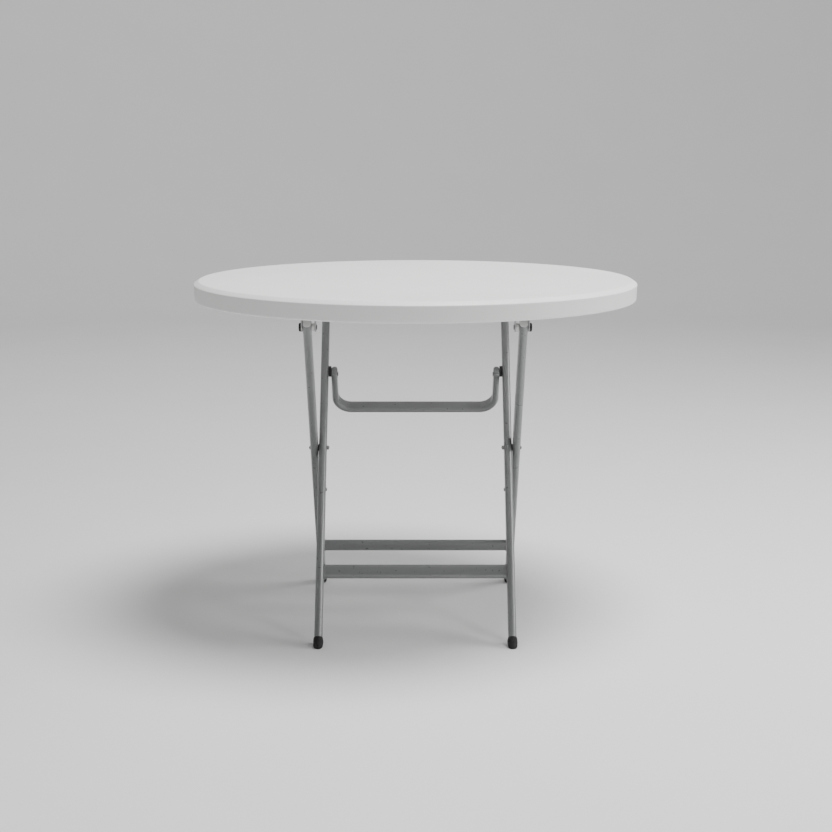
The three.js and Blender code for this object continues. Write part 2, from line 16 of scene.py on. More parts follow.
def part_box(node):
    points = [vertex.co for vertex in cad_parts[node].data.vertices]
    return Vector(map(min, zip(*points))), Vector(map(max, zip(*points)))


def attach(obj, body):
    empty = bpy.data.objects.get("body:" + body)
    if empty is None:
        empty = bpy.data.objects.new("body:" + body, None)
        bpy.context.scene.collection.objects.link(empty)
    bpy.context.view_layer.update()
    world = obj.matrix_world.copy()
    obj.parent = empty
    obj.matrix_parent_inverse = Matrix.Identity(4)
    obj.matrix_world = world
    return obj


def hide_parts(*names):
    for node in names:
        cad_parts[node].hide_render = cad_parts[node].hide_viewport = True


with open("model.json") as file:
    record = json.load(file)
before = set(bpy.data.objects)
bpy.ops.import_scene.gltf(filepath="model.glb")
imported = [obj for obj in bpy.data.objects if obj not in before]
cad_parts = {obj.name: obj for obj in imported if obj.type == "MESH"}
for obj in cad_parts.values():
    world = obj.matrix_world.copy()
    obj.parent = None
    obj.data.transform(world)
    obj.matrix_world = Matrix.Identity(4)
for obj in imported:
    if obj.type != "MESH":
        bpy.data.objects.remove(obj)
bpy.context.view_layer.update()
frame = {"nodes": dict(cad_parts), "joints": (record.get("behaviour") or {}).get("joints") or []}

MM = 0.001
SIDES = (("left", -1), ("right", 1))
SHARP = math.radians(32)  # edges that turn more than this stay crisp
GAP = 0.3 * MM  # left between pieces that touch
OVAL_STEPS = 14  # facets of each half-round edge of an oval

JOINTS = {joint["name"]: joint for joint in frame["joints"]}
CROSSING = Vector(JOINTS["leg_fold"]["pos_m"])
HINGE = Vector(JOINTS["top_tilt"]["pos_m"])
BAR_PIVOT = Vector(JOINTS["bar_swing"]["pos_m"])
X_AXIS = Vector((1, 0, 0))
OUTER_AXIS = (HINGE - CROSSING).normalized()
INNER_AXIS = Vector((0, -OUTER_AXIS.y, OUTER_AXIS.z))


# Frames and sizes ---------------------------------------------------------------------------

def leg_frame(axis, x=0.0, origin=CROSSING):
    """A frame whose Z runs up a leg, and whose X is the table's X."""
    matrix = Matrix((X_AXIS, axis.cross(X_AXIS), axis)).transposed().to_4x4()
    matrix.translation = Vector((x, origin.y, origin.z))
    return matrix


def local_box(node, matrix):
    """A CAD node's lowest and highest corners in one of our frames."""
    inverse = matrix.inverted()
    points = [inverse @ vertex.co for vertex in frame["nodes"][node].data.vertices]
    low = Vector([min(point[i] for point in points) for i in range(3)])
    high = Vector([max(point[i] for point in points) for i in range(3)])
    return low, high


def centre_x(node):
    low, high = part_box(node)
    return (low.x + high.x) / 2


def along_x(y, z, side):
    """A frame whose Z is the table's X, pointing outwards on the side given, at a height and depth."""
    turn = Matrix.Rotation(side * math.pi / 2, 4, "Y")
    return Matrix.Translation((0, y, z)) @ turn


# Mesh building ------------------------------------------------------------------------------

def loft(bm, rings, loop=False):
    """Skins rings of points with equal counts. A loop joins the last to the first, else both are capped."""
    rows = [[bm.verts.new(point) for point in ring] for ring in rings]
    count = len(rows[0])
    pairs = list(zip(rows, rows[1:]))
    if loop:
        pairs.append((rows[-1], rows[0]))
    for low, high in pairs:
        for k in range(count):
            after = (k + 1) % count
            bm.faces.new((low[k], low[after], high[after], high[k]))
    if not loop:
        bm.faces.new(list(reversed(rows[0])))
        bm.faces.new(rows[-1])


def revolve(bm, profile, steps):
    """Turns (radius, z) points about Z. A radius of 0 is a pole."""
    rows = []
    for radius, z in profile:
        if radius == 0:
            rows.append([bm.verts.new((0, 0, z))] * steps)
            continue
        angles = [2 * math.pi * k / steps for k in range(steps)]
        rows.append([bm.verts.new((radius * math.cos(a), radius * math.sin(a), z)) for a in angles])
    for low, high in zip(rows, rows[1:]):
        for k in range(steps):
            after = (k + 1) % steps
            corners = list(dict.fromkeys((low[k], low[after], high[after], high[k])))
            bm.faces.new(corners)


def ring_solid(profile):
    """A closed profile turned about Z: a washer or a spacer."""
    bm = bmesh.new()
    steps = 48
    angles = [2 * math.pi * k / steps for k in range(steps)]
    rings = [[(r * math.cos(a), r * math.sin(a), z) for r, z in profile] for a in angles]
    loft(bm, rings, loop=True)
    return bm


def turned_solid(profile, steps=48):
    bm = bmesh.new()
    revolve(bm, profile, steps)
    return bm


def arc(x, y, radius, start, end, steps):
    """Points on an arc, angles in degrees."""
    angles = [math.radians(start + (end - start) * i / steps) for i in range(steps + 1)]
    return [(x + radius * math.cos(a), y + radius * math.sin(a)) for a in angles]


def oval(width, depth, z=0.0, inset=0.0):
    """A flat oval in the XY plane, its half-round edges at -Y and +Y."""
    radius = width / 2 - inset
    straight = (depth - width) / 2
    points = []
    for sign, start in ((1, 0), (-1, 180)):
        edge = arc(0, sign * straight, radius, start, start + 180, OVAL_STEPS)
        points += [Vector((x, y, z)) for x, y in edge]
    return points


def extrude(outline, low, high, axis="X"):
    """A prism on an outline of 2-D points: (y, z) along X, or (x, z) along Y."""
    bm = bmesh.new()
    if axis == "X":
        rings = [[(x, u, v) for u, v in outline] for x in (low, high)]
    else:
        rings = [[(u, y, v) for u, v in outline] for y in (low, high)]
    loft(bm, rings)
    return bm


def mesh_from(bm, name):
    bmesh.ops.recalc_face_normals(bm, faces=bm.faces)
    for face in bm.faces:
        face.smooth = True
    for edge in bm.edges:
        edge.smooth = edge.calc_face_angle(0) < SHARP
    mesh = bpy.data.meshes.new(name)
    bm.to_mesh(mesh)
    bm.free()
    return mesh


def combined(first, second, operation):
    """The exact union, difference or intersection of two closed meshes."""
    objects = []
    for bm in (first, second):
        made = bpy.data.objects.new("temporary", mesh_from(bm, "temporary"))
        bpy.context.scene.collection.objects.link(made)
        objects.append(made)
    modifier = objects[0].modifiers.new("Boolean", "BOOLEAN")
    modifier.operation = operation
    modifier.solver = "EXACT"
    modifier.object = objects[1]
    graph = bpy.context.evaluated_depsgraph_get()
    result = bmesh.new()
    result.from_mesh(objects[0].evaluated_get(graph).to_mesh())
    bmesh.ops.remove_doubles(result, verts=result.verts, dist=1e-6)
    bmesh.ops.dissolve_degenerate(result, dist=1e-7, edges=result.edges)
    for made in objects:
        bpy.data.meshes.remove(made.data)
    return result


def soften(bm, width):
    """Rounds every edge that turns more than 30 degrees."""
    bmesh.ops.recalc_face_normals(bm, faces=bm.faces)
    sharp = [edge for edge in bm.edges if edge.calc_face_angle(0) > math.radians(30)]
    bmesh.ops.bevel(
        bm, geom=sharp, offset=width, segments=2, profile=0.5, affect="EDGES", clamp_overlap=True
    )
    return bm


def add_piece(name, bm, body, slot, stands_for, matrix=None):
    """Puts a mesh in the scene on a CAD body, in place of a CAD node."""
    if matrix is not None:
        bm.transform(matrix)
    return add_mesh(name, mesh_from(bm, name), body, slot, stands_for)


def add_mesh(name, mesh, body, slot, stands_for, matrix=None):
    made = bpy.data.objects.new(name, mesh)
    bpy.context.scene.collection.objects.link(made)
    if matrix is not None:
        made.matrix_world = matrix
    if not mesh.materials:
        mesh.materials.append(LOOKS[slot])
    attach(made, body)
    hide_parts(stands_for)
    return made


# Materials ----------------------------------------------------------------------------------

class Look:
    """A Principled material whose colour, roughness and bump come from noise over the surface."""

    def __init__(self, name, metallic=0.0):
        self.material = bpy.data.materials.new(name)
        self.material.use_nodes = True
        self.tree = self.material.node_tree
        self.shader = self.tree.nodes["Principled BSDF"]
        self.shader.inputs["Metallic"].default_value = metallic
        self.coordinates = self.tree.nodes.new("ShaderNodeTexCoord").outputs["Object"]
        self.height = None

    def node(self, kind, links=None, **values):
        made = self.tree.nodes.new(kind)
        for key, value in values.items():
            setattr(made, key, value)
        for socket, source in (links or {}).items():
            if hasattr(source, "is_output"):
                self.tree.links.new(source, made.inputs[socket])
            else:
                made.inputs[socket].default_value = source
        return made

    def noise(self, scale, detail, roughness=0.55, stretch=None):
        coordinates = self.coordinates
        if stretch:
            mapped = self.node("ShaderNodeMapping", {"Vector": coordinates, "Scale": stretch})
            coordinates = mapped.outputs["Vector"]
        links = {"Vector": coordinates, "Scale": scale, "Detail": detail, "Roughness": roughness}
        return self.node("ShaderNodeTexNoise", links).outputs["Fac"]

    def cells(self, scale):
        links = {"Vector": self.coordinates, "Scale": scale}
        return self.node("ShaderNodeTexVoronoi", links, feature="SMOOTH_F1").outputs["Distance"]

    def ranged(self, source, low, high, to_low=0.0, to_high=1.0):
        links = {"Value": source, "From Min": low, "From Max": high, "To Min": to_low, "To Max": to_high}
        return self.node("ShaderNodeMapRange", links).outputs["Result"]

    def mixed(self, factor, first, second):
        made = self.node("ShaderNodeMix", data_type="RGBA")
        for socket, source in ((6, first), (7, second)):
            if hasattr(source, "is_output"):
                self.tree.links.new(source, made.inputs[socket])
            else:
                made.inputs[socket].default_value = (*source, 1)
        self.tree.links.new(factor, made.inputs[0])
        return made.outputs[2]

    def color(self, source):
        self.tree.links.new(source, self.shader.inputs["Base Color"])

    def roughness(self, source):
        self.tree.links.new(source, self.shader.inputs["Roughness"])

    def bump(self, source, distance, strength):
        links = {"Height": source, "Distance": distance, "Strength": strength}
        if self.height:
            links["Normal"] = self.height
        self.height = self.node("ShaderNodeBump", links).outputs["Normal"]
        self.tree.links.new(self.height, self.shader.inputs["Normal"])


def top_plastic():
    """White blow-moulded polyethylene: a fine pebble grain, slightly cloudy, with faint scuffs."""
    look = Look("top_plastic")
    cloud = look.ranged(look.noise(5, 3), 0.3, 0.7)
    base = look.mixed(cloud, (0.80, 0.80, 0.79), (0.84, 0.84, 0.835))
    scuff = look.ranged(look.noise(24, 6, 0.7, stretch=(1, 9, 1)), 0.66, 0.76)
    look.color(look.mixed(scuff, base, (0.76, 0.76, 0.75)))
    look.roughness(look.ranged(look.noise(70, 4), 0.3, 0.7, 0.42, 0.56))
    look.bump(look.cells(520), 0.00012, 0.5)
    look.bump(look.noise(1500, 2), 0.00004, 0.5)
    return look.material


def frame_paint():
    """Grey powder coat on steel: orange peel, fine flake, a little dust and a few rubbed marks."""
    look = Look("frame_paint", metallic=0.35)
    flake = look.ranged(look.noise(2600, 2), 0.35, 0.65)
    base = look.mixed(flake, (0.197, 0.202, 0.202), (0.225, 0.23, 0.229))
    dust = look.ranged(look.noise(14, 5, 0.65), 0.5, 0.8, 0, 0.5)
    dusty = look.mixed(dust, base, (0.232, 0.232, 0.229))
    rubbed = look.ranged(look.noise(34, 5, 0.6, stretch=(1, 1, 0.3)), 0.62, 0.8, 0, 0.6)
    look.color(look.mixed(rubbed, dusty, (0.245, 0.25, 0.248)))
    look.roughness(look.ranged(look.noise(120, 4), 0.3, 0.7, 0.27, 0.32))
    look.bump(look.noise(380, 2), 0.000005, 0.2)
    return look.material


def zinc_steel():
    """Zinc-plated pressed steel: faint spangle and drawing marks."""
    look = Look("zinc_steel", metallic=0.9)
    spangle = look.ranged(look.cells(160), 0.1, 0.6)
    base = look.mixed(spangle, (0.30, 0.305, 0.31), (0.40, 0.40, 0.395))
    stain = look.ranged(look.noise(40, 6, 0.7), 0.55, 0.75)
    look.color(look.mixed(stain, base, (0.24, 0.235, 0.22)))
    look.roughness(look.ranged(look.noise(90, 5), 0.3, 0.7, 0.32, 0.5))
    look.bump(look.noise(900, 3, 0.6, stretch=(1, 1, 0.1)), 0.00003, 0.6)
    return look.material


def black_steel():
    """Black-oxide fasteners: near black with worn high spots."""
    look = Look("black_steel", metallic=0.7)
    worn = look.ranged(look.noise(300, 6, 0.7), 0.58, 0.72)
    look.color(look.mixed(worn, (0.025, 0.025, 0.026), (0.09, 0.09, 0.088)))
    look.roughness(look.ranged(look.noise(180, 4), 0.3, 0.7, 0.38, 0.55))
    look.bump(look.noise(700, 3), 0.00004, 0.5)
    return look.material


def moulded_plastic(name, dark, light, rough):
    """Moulded nylon: an even colour with a fine spark-eroded grain."""
    look = Look(name)
    look.color(look.mixed(look.ranged(look.noise(30, 4), 0.3, 0.7), dark, light))
    look.roughness(look.ranged(look.noise(200, 3), 0.3, 0.7, rough - 0.08, rough + 0.06))
    look.bump(look.noise(1400, 2), 0.00005, 0.6)
    return look.material


def foot_rubber():
    """Black rubber with a matt bloom that gathers grey dust towards the floor."""
    look = Look("foot_rubber")
    split = look.node("ShaderNodeSeparateXYZ", {"Vector": look.coordinates}).outputs["Z"]
    low = look.ranged(split, 0.014, 0.0)
    patch = look.ranged(look.noise(90, 5, 0.7), 0.35, 0.75)
    dust = look.node("ShaderNodeMath", {0: low, 1: patch}, operation="MULTIPLY").outputs["Value"]
    look.color(look.mixed(dust, (0.008, 0.008, 0.008), (0.026, 0.025, 0.024)))
    look.roughness(look.ranged(look.noise(150, 4), 0.3, 0.7, 0.66, 0.85))
    look.bump(look.noise(800, 4, 0.6), 0.0001, 0.5)
    return look.material


LOOKS = {
    "top_plastic": top_plastic(),
    "frame_paint": frame_paint(),
    "zinc_steel": zinc_steel(),
    "black_steel": black_steel(),
    "black_plastic": moulded_plastic("black_plastic", (0.014, 0.014, 0.015), (0.022, 0.022, 0.022), 0.5),
    "grey_plastic": moulded_plastic("grey_plastic", (0.64, 0.64, 0.63), (0.70, 0.70, 0.69), 0.5),
    "foot_rubber": foot_rubber(),
}


# Top ----------------------------------------------------------------------------------------

RIM_ROUND = 4.5 * MM  # radius of the rim's lower edge
RIM_DRAFT = 1.2 * MM
BEVEL_WIDTH = 11 * MM
BEVEL_DROP = 7.5 * MM
SHOULDER_ROUND = 2.6 * MM  # where the rim meets the bevel
LIP_ROUND = 5 * MM  # where the bevel meets the flat
GROOVE_INSET = 26 * MM  # shallow groove round the underside, from the rim
GROOVE_WIDTH = 7 * MM
GROOVE_DEPTH = 1.6 * MM
DIMPLE_PITCH = 46 * MM  # where the panel's two skins are pinched together
DIMPLE_RADIUS = 11 * MM
DIMPLE_DEPTH = 7 * MM
DIMPLE_STEPS = 24
VENT_RADIUS = 4 * MM  # blow hole in the middle of the underside
VENT_DEPTH = 12 * MM
TOP_STEPS = 288


def rim_profile(radius, under, top):
    """(radius, z) points from the edge of the flat underside, round the rim, to the middle of the top."""
    corner = radius - RIM_DRAFT - RIM_ROUND
    shoulder = top - BEVEL_DROP
    lip = radius - BEVEL_WIDTH
    points = arc(corner, under + RIM_ROUND, RIM_ROUND, -90, 0, 7)
    points += [(radius - 0.3 * MM, shoulder - 3 * MM)]
    points += arc(radius - SHOULDER_ROUND, shoulder - 1.2 * MM, SHOULDER_ROUND, 0, 55, 5)
    points += arc(lip - 1.2 * MM, top - LIP_ROUND, LIP_ROUND, 60, 90, 5)
    points += [(lip - 12 * MM, top), (0.3, top), (0.15, top), (0, top)]
    return points


def groove_profile(radius, under):
    """The shallow groove of the underside, from its inner edge outwards to the rim."""
    outer = radius - GROOVE_INSET
    inner = outer - GROOVE_WIDTH
    slope = 2 * MM
    return [
        (inner, under),
        (inner + slope, under + GROOVE_DEPTH),
        (outer - slope, under + GROOVE_DEPTH),
        (outer, under),
        (radius - RIM_DRAFT - RIM_ROUND - 3 * MM, under),
    ]


def dimple_centres(reach):
    """A hexagonal grid of dimples, clear of the brackets, the catches and the blow hole."""
    blocked = []
    for node in frame["nodes"]:
        if node.startswith(("hinge_bracket", "catch_")):
            blocked.append(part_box(node))
    margin = DIMPLE_RADIUS + 4 * MM
    row_pitch = DIMPLE_PITCH * math.sqrt(3) / 2
    rows = int(reach / row_pitch)
    columns = int(reach / DIMPLE_PITCH) + 1
    centres = []
    for row in range(-rows, rows + 1):
        for column in range(-columns, columns + 1):
            x = (column + 0.5 + (row % 2) / 2) * DIMPLE_PITCH
            y = row * row_pitch
            inside = math.hypot(x, y) < reach - DIMPLE_RADIUS - 6 * MM
            clear = all(
                not (low.x - margin < x < high.x + margin and low.y - margin < y < high.y + margin)
                for low, high in blocked
            )
            if inside and clear:
                centres.append((x, y))
    return centres


def underside(bm, inner_row, under):
    """The flat of the underside inside a ring of vertices, with its dimples and its blow hole."""
    holes = [(x, y, DIMPLE_RADIUS) for x, y in dimple_centres(inner_row[0].co.xy.length)]
    holes.append((0, 0, VENT_RADIUS))
    outline = [vertex.co.xy.copy() for vertex in inner_row]
    coordinates = list(outline)
    for x, y, radius in holes:
        coordinates += [Vector(point) for point in arc(x, y, radius, 0, 360, DIMPLE_STEPS)[:-1]]
    loops = [list(range(len(outline)))]
    for i in range(len(holes)):
        start = len(outline) + i * DIMPLE_STEPS
        loops.append(list(range(start, start + DIMPLE_STEPS)))
    edges = [(loop[k], loop[(k + 1) % len(loop)]) for loop in loops for k in range(len(loop))]
    made = delaunay_2d_cdt(coordinates, edges, [], 0, 1e-7)
    vertices = list(inner_row) + [bm.verts.new((x, y, under)) for x, y in coordinates[len(outline):]]
    for corners in made[2]:
        middle = sum((Vector(coordinates[c]) for c in corners), Vector((0, 0))) / len(corners)
        if not any((middle - Vector((x, y))).length < radius * 0.97 for x, y, radius in holes):
            bm.faces.new([vertices[c] for c in corners])
    for (x, y, radius), loop in zip(holes, loops[1:]):
        depth = DIMPLE_DEPTH if radius == DIMPLE_RADIUS else VENT_DEPTH
        sink(bm, [vertices[c] for c in loop], Vector((x, y, under)), radius, depth)


def sink(bm, rim, centre, radius, depth):
    """Closes a round hole with a recess: a rounded lip, a sloping wall and a flat floor."""
    shape = ((0.93, 0.12), (0.66, 0.86), (0.55, 1.0))
    previous = rim
    for share, sunk in shape:
        ring = []
        for vertex in rim:
            outward = (vertex.co - centre) * share
            ring.append(bm.verts.new(centre + Vector((outward.x, outward.y, sunk * depth))))
        for k, vertex in enumerate(previous):
            after = (k + 1) % len(rim)
            bm.faces.new((vertex, previous[after], ring[after], ring[k]))
        previous = ring
    bm.faces.new(previous)


def build_tabletop():
    low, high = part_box("tabletop")
    radius = high.x
    bm = bmesh.new()
    profile = groove_profile(radius, low.z) + rim_profile(radius, low.z, high.z)
    revolve(bm, profile, TOP_STEPS)
    bm.verts.ensure_lookup_table()
    underside(bm, [bm.verts[k] for k in range(TOP_STEPS)], low.z)
    add_piece("tabletop", bm, "top", "top_plastic", "tabletop")


# Hinge brackets, pins and screws ------------------------------------------------------------

SHEET = 3 * MM  # thickness of a bracket
INNER_HEAD = 1.2 * MM  # height of a hinge pin's riveted end, inside its bracket
INNER_HEAD_RADIUS = 5.3 * MM
OUTER_HEAD = 4.5 * MM
HINGE_SHANK = 3.5 * MM
SPACER_BORE = 3.8 * MM
SCREW_HEAD = 2.4 * MM
SCREW_SHANK = 2.6 * MM


def bracket_profile(low, high, cheeks, foot):
    """(x, z) outline of a bracket seen from the front: a plate with two cheeks under it."""
    fillet = 2.4 * MM
    under = high.z - SHEET
    outline = [(low.x, high.z), (high.x, high.z), (high.x, under)]
    for inner, outer in reversed(cheeks):
        outline += arc(outer + fillet, under - fillet, fillet, 90, 180, 4)
        outline += [(outer, foot), (inner, foot)]
        outline += arc(inner - fillet, under - fillet, fillet, 0, 90, 4)
    outline.append((low.x, under))
    return outline


def cheek_outline(half, top, lobe):
    """(y, z) outline of the cheeks: straight sides that taper to a round end about the hinge."""
    outline = [(HINGE.y + half, top), (HINGE.y - half, top)]
    outline += arc(HINGE.y, HINGE.z, lobe, 174, 366, 20)
    return outline


def build_brackets():
    for side_name, side in SIDES:
        low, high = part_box(f"hinge_bracket_{side_name}")
        pin_low, pin_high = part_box(f"hinge_pin_{side_name}")
        reach_in = min(abs(pin_low.x), abs(pin_high.x)) + INNER_HEAD + GAP
        reach_out = max(abs(pin_low.x), abs(pin_high.x)) - OUTER_HEAD - GAP
        cheeks = [(reach_in, reach_in + SHEET), (reach_out - SHEET, reach_out)]
        near, far = sorted((abs(low.x), abs(high.x)))
        box_low = Vector((near, low.y, low.z))
        box_high = Vector((far, high.y, high.z))
        over = 1 * MM  # the two outlines overshoot each other by this, so that their faces don't meet
        outline = bracket_profile(box_low, box_high, cheeks, low.z - over)
        pressed = extrude(outline, low.y - over, high.y + over, "Y")
        half = (high.y - low.y) / 2
        cutter = extrude(cheek_outline(half, high.z + over, HINGE.z - low.z), near - 1, far + 1)
        bm = soften(combined(pressed, cutter, "INTERSECT"), 0.5 * MM)
        if side < 0:
            bm.transform(Matrix.Scale(-1, 4, X_AXIS))
        add_piece(f"hinge_bracket_{side_name}", bm, "top", "zinc_steel", f"hinge_bracket_{side_name}")
        build_hinge_pin(side_name, side)
        build_hinge_spacer(side_name, side)


def build_hinge_pin(side_name, side):
    """A pin with a broad domed head outside the bracket and a low riveted end inside it."""
    name = f"hinge_pin_{side_name}"
    low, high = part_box(name)
    start, end = sorted((abs(low.x), abs(high.x)))
    head = (high.z - low.z) / 2
    profile = [(0, start)] + arc(INNER_HEAD_RADIUS - 1 * MM, start + 1 * MM, 1 * MM, -90, 0, 4)
    profile += [(INNER_HEAD_RADIUS, start + INNER_HEAD), (HINGE_SHANK, start + INNER_HEAD)]
    profile += [(HINGE_SHANK, end - OUTER_HEAD)]
    profile += [(head - 0.4 * MM, end - OUTER_HEAD), (head, end - OUTER_HEAD + 0.4 * MM)]
    profile += arc(head - 2.6 * MM, end - 2.6 * MM, 2.6 * MM, 0, 90, 6) + [(0, end)]
    add_piece(name, turned_solid(profile, 48), "top", "black_steel", name, along_x(HINGE.y, HINGE.z, side))


def washer(inner, outer, start, end, edge):
    """A flat ring about Z with eased edges."""
    return ring_solid([
        (inner, start + edge), (inner + edge, start), (outer - edge, start), (outer, start + edge),
        (outer, end - edge), (outer - edge, end), (inner + edge, end), (inner, end - edge),
    ])


def build_hinge_spacer(side_name, side):
    name = f"hinge_spacer_{side_name}"
    low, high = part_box(name)
    start, end = sorted((abs(low.x), abs(high.x)))
    bm = washer(SPACER_BORE, (high.z - low.z) / 2, start, end, 0.6 * MM)
    add_piece(name, bm, "outer_frame", "grey_plastic", name, along_x(HINGE.y, HINGE.z, side))


def screw_mesh(length, head):
    """A pan-head screw with a cross recess; its head's underside is at Z = 0 and its tip points up."""
    profile = [(0, -SCREW_HEAD)]
    profile += arc(head - 1.5 * MM, 1.5 * MM - SCREW_HEAD, 1.5 * MM, -78, 0, 5)
    profile += [(head, 0), (SCREW_SHANK, 0), (SCREW_SHANK, length - 2 * MM)]
    profile += [(0.4 * MM, length), (0, length)]
    head_solid = turned_solid(profile, 40)
    for turn in (0, 90):
        mouth, floor = -SCREW_HEAD - 1 * MM, -SCREW_HEAD + 1.3 * MM
        slot_outline = [(-2.6 * MM, mouth), (2.6 * MM, mouth), (1.6 * MM, floor), (-1.6 * MM, floor)]
        slot = extrude(slot_outline, -0.45 * MM, 0.45 * MM)
        slot.transform(Matrix.Rotation(math.radians(turn), 4, "Z"))
        head_solid = combined(head_solid, slot, "DIFFERENCE")
    return mesh_from(head_solid, "pan_head_screw")


def build_screws():
    low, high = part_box("bracket_screw_left_1")
    head = (high.x - low.x) / 2
    mesh = screw_mesh(high.z - low.z - SCREW_HEAD, head)
    mesh.materials.append(LOOKS["zinc_steel"])
    for owner in ("bracket", "catch"):
        for side_name, _side in SIDES:
            for number in (1, 2):
                name = f"{owner}_screw_{side_name}_{number}"
                low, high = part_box(name)
                middle = ((low.x + high.x) / 2, (low.y + high.y) / 2, low.z + SCREW_HEAD)
                turned = Matrix.Translation(middle) @ Matrix.Rotation(math.radians(23 * number), 4, "Z")
                add_mesh(name, mesh, "top", "zinc_steel", name, turned)


# Catches ------------------------------------------------------------------------------------

def catch_outline(low, high, bar_low, bar_high):
    """(y, z) outline of a hook: a roof on the top bar's arc about the crossing, and a wall behind it."""
    clearance = 0.5 * MM
    bar_y = (bar_low.y + bar_high.y) / 2
    bar_z = (bar_low.z + bar_high.z) / 2
    bar_radius = (bar_high.z - bar_low.z) / 2
    roof = math.hypot(bar_y, bar_z - CROSSING.z) + bar_radius + clearance
    wall = bar_y + bar_radius + clearance
    outline = [(low.y, high.z)]
    steps = 16
    for i in range(steps + 1):
        y = low.y + (wall - low.y) * i / steps
        outline.append((y, CROSSING.z + math.sqrt(roof ** 2 - y ** 2)))
    outline += [(wall, low.z + 3 * MM), (wall + 1.4 * MM, low.z + 0.6 * MM)]
    outline += arc(high.y - 3 * MM, low.z + 3 * MM, 3 * MM, -90, 0, 5)
    outline.append((high.y, high.z))
    return outline


def rounded_plate(low, high, radius):
    """A plate between two corners, its upright edges rounded."""
    outline = []
    corners = ((high.x, high.y, 0), (low.x, high.y, 90), (low.x, low.y, 180), (high.x, low.y, 270))
    for x, y, start in corners:
        inward_x = radius if x == low.x else -radius
        inward_y = radius if y == low.y else -radius
        outline += arc(x + inward_x, y + inward_y, radius, start, start + 90, 5)
    bm = bmesh.new()
    loft(bm, [[(x, y, z) for x, y in outline] for z in (low.z, high.z)])
    return bm


def build_catches():
    bar_low, bar_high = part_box("inner_top_bar")
    plate_thickness = 4 * MM
    half_width = 15 * MM
    for side_name, _side in SIDES:
        name = f"catch_{side_name}"
        low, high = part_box(name)
        middle = (low.x + high.x) / 2
        outline = catch_outline(low, high, bar_low, bar_high)
        block = soften(extrude(outline, middle - half_width, middle + half_width), 0.8 * MM)
        plate_low = Vector((low.x, low.y, high.z - plate_thickness))
        plate = soften(rounded_plate(plate_low, high, 6 * MM), 0.5 * MM)
        bm = combined(block, plate, "UNION")
        for offset in (-1, 1):
            outer = middle + offset * (half_width + 13 * MM)
            inner = middle + offset * (half_width - 2 * MM)
            rib_outline = [(inner, high.z - 2 * MM), (outer, high.z - 2 * MM),
                           (outer, high.z - 5 * MM), (inner, high.z - 26 * MM)]
            rib = extrude(rib_outline, high.y - 4.5 * MM, high.y - 1.5 * MM, "Y")
            bm = combined(bm, rib, "UNION")
        add_piece(name, bm, "top", "black_plastic", name)


# Legs and their cross members ---------------------------------------------------------------

TUBE_WALL = 1.5 * MM
PLUG_HEAD = 1 * MM
PLUG_CROWN = 1.2 * MM
PLUG_FIT = 1.8 * MM  # from a tube's outside in to the spigot of its plug
SOLE_EDGE = ((4.2, 0.0), (2.6, 0.25), (1.4, 1.0), (0.6, 2.2), (0.1, 3.8))  # (inset, lift) in mm
HEAD_BULGE = ((-0.35, 0.5), (-0.2, 0.72), (0.1, 0.86), (0.5, 0.95), (1.1, 1.0))  # (mm, share of height)
SPIGOT_RIB = ((0, 0), (0.5, 0.6), (2, 0.6), (2.5, 0))  # (rise, inset) in mm
CROSS_WALL = 1.4 * MM
STRETCHER_WIDTH = 15 * MM
STRETCHER_DEPTH = 30 * MM
TOP_BAR = 16 * MM
WELD_RADIUS = 1.5 * MM


def tube_rings(width, depth, wall, low, high):
    """Rings up the outside of a flat-oval tube and back down its inside, its cut ends eased."""
    ease = 0.35 * MM
    outside = [(0, low + ease), (0, high - ease), (ease, high)]
    inside = [(wall - ease, high), (wall, high - ease), (wall, low + ease), (wall - ease, low), (ease, low)]
    return [oval(width, depth, z, inset) for inset, z in outside + inside]


def build_leg(frame_name, axis, side_name):
    name = f"{frame_name}_leg_{side_name}"
    matrix = leg_frame(axis, centre_x(name))
    low, high = local_box(name, matrix)
    bm = bmesh.new()
    loft(bm, tube_rings(high.x - low.x, high.y - low.y, TUBE_WALL, low.z, high.z), loop=True)
    add_piece(name, bm, f"{frame_name}_frame", "frame_paint", name, matrix)


def build_plug(name, body, slot, matrix, head, crown, fit):
    """A tube's end plug: a head that narrows by its crown over a spigot with a chamfered end."""
    low, high = local_box(name, matrix)
    width, depth = high.x - low.x, high.y - low.y
    middle = Vector(((low.x + high.x) / 2, (low.y + high.y) / 2, 0))
    under = high.z - head
    shape = [(fit + 1 * MM, low.z), (fit, low.z + 0.8 * MM), (fit, under), (0.1 * MM, under)]
    for inward, rise in arc(1, 0, 1, 180, 90, 6):
        shape.append((crown * inward, under + GAP + (head - GAP) * rise))
    bm = bmesh.new()
    loft(bm, [[point + middle for point in oval(width, depth, z, inset)] for inset, z in shape])
    add_piece(name, bm, body, slot, name, matrix)


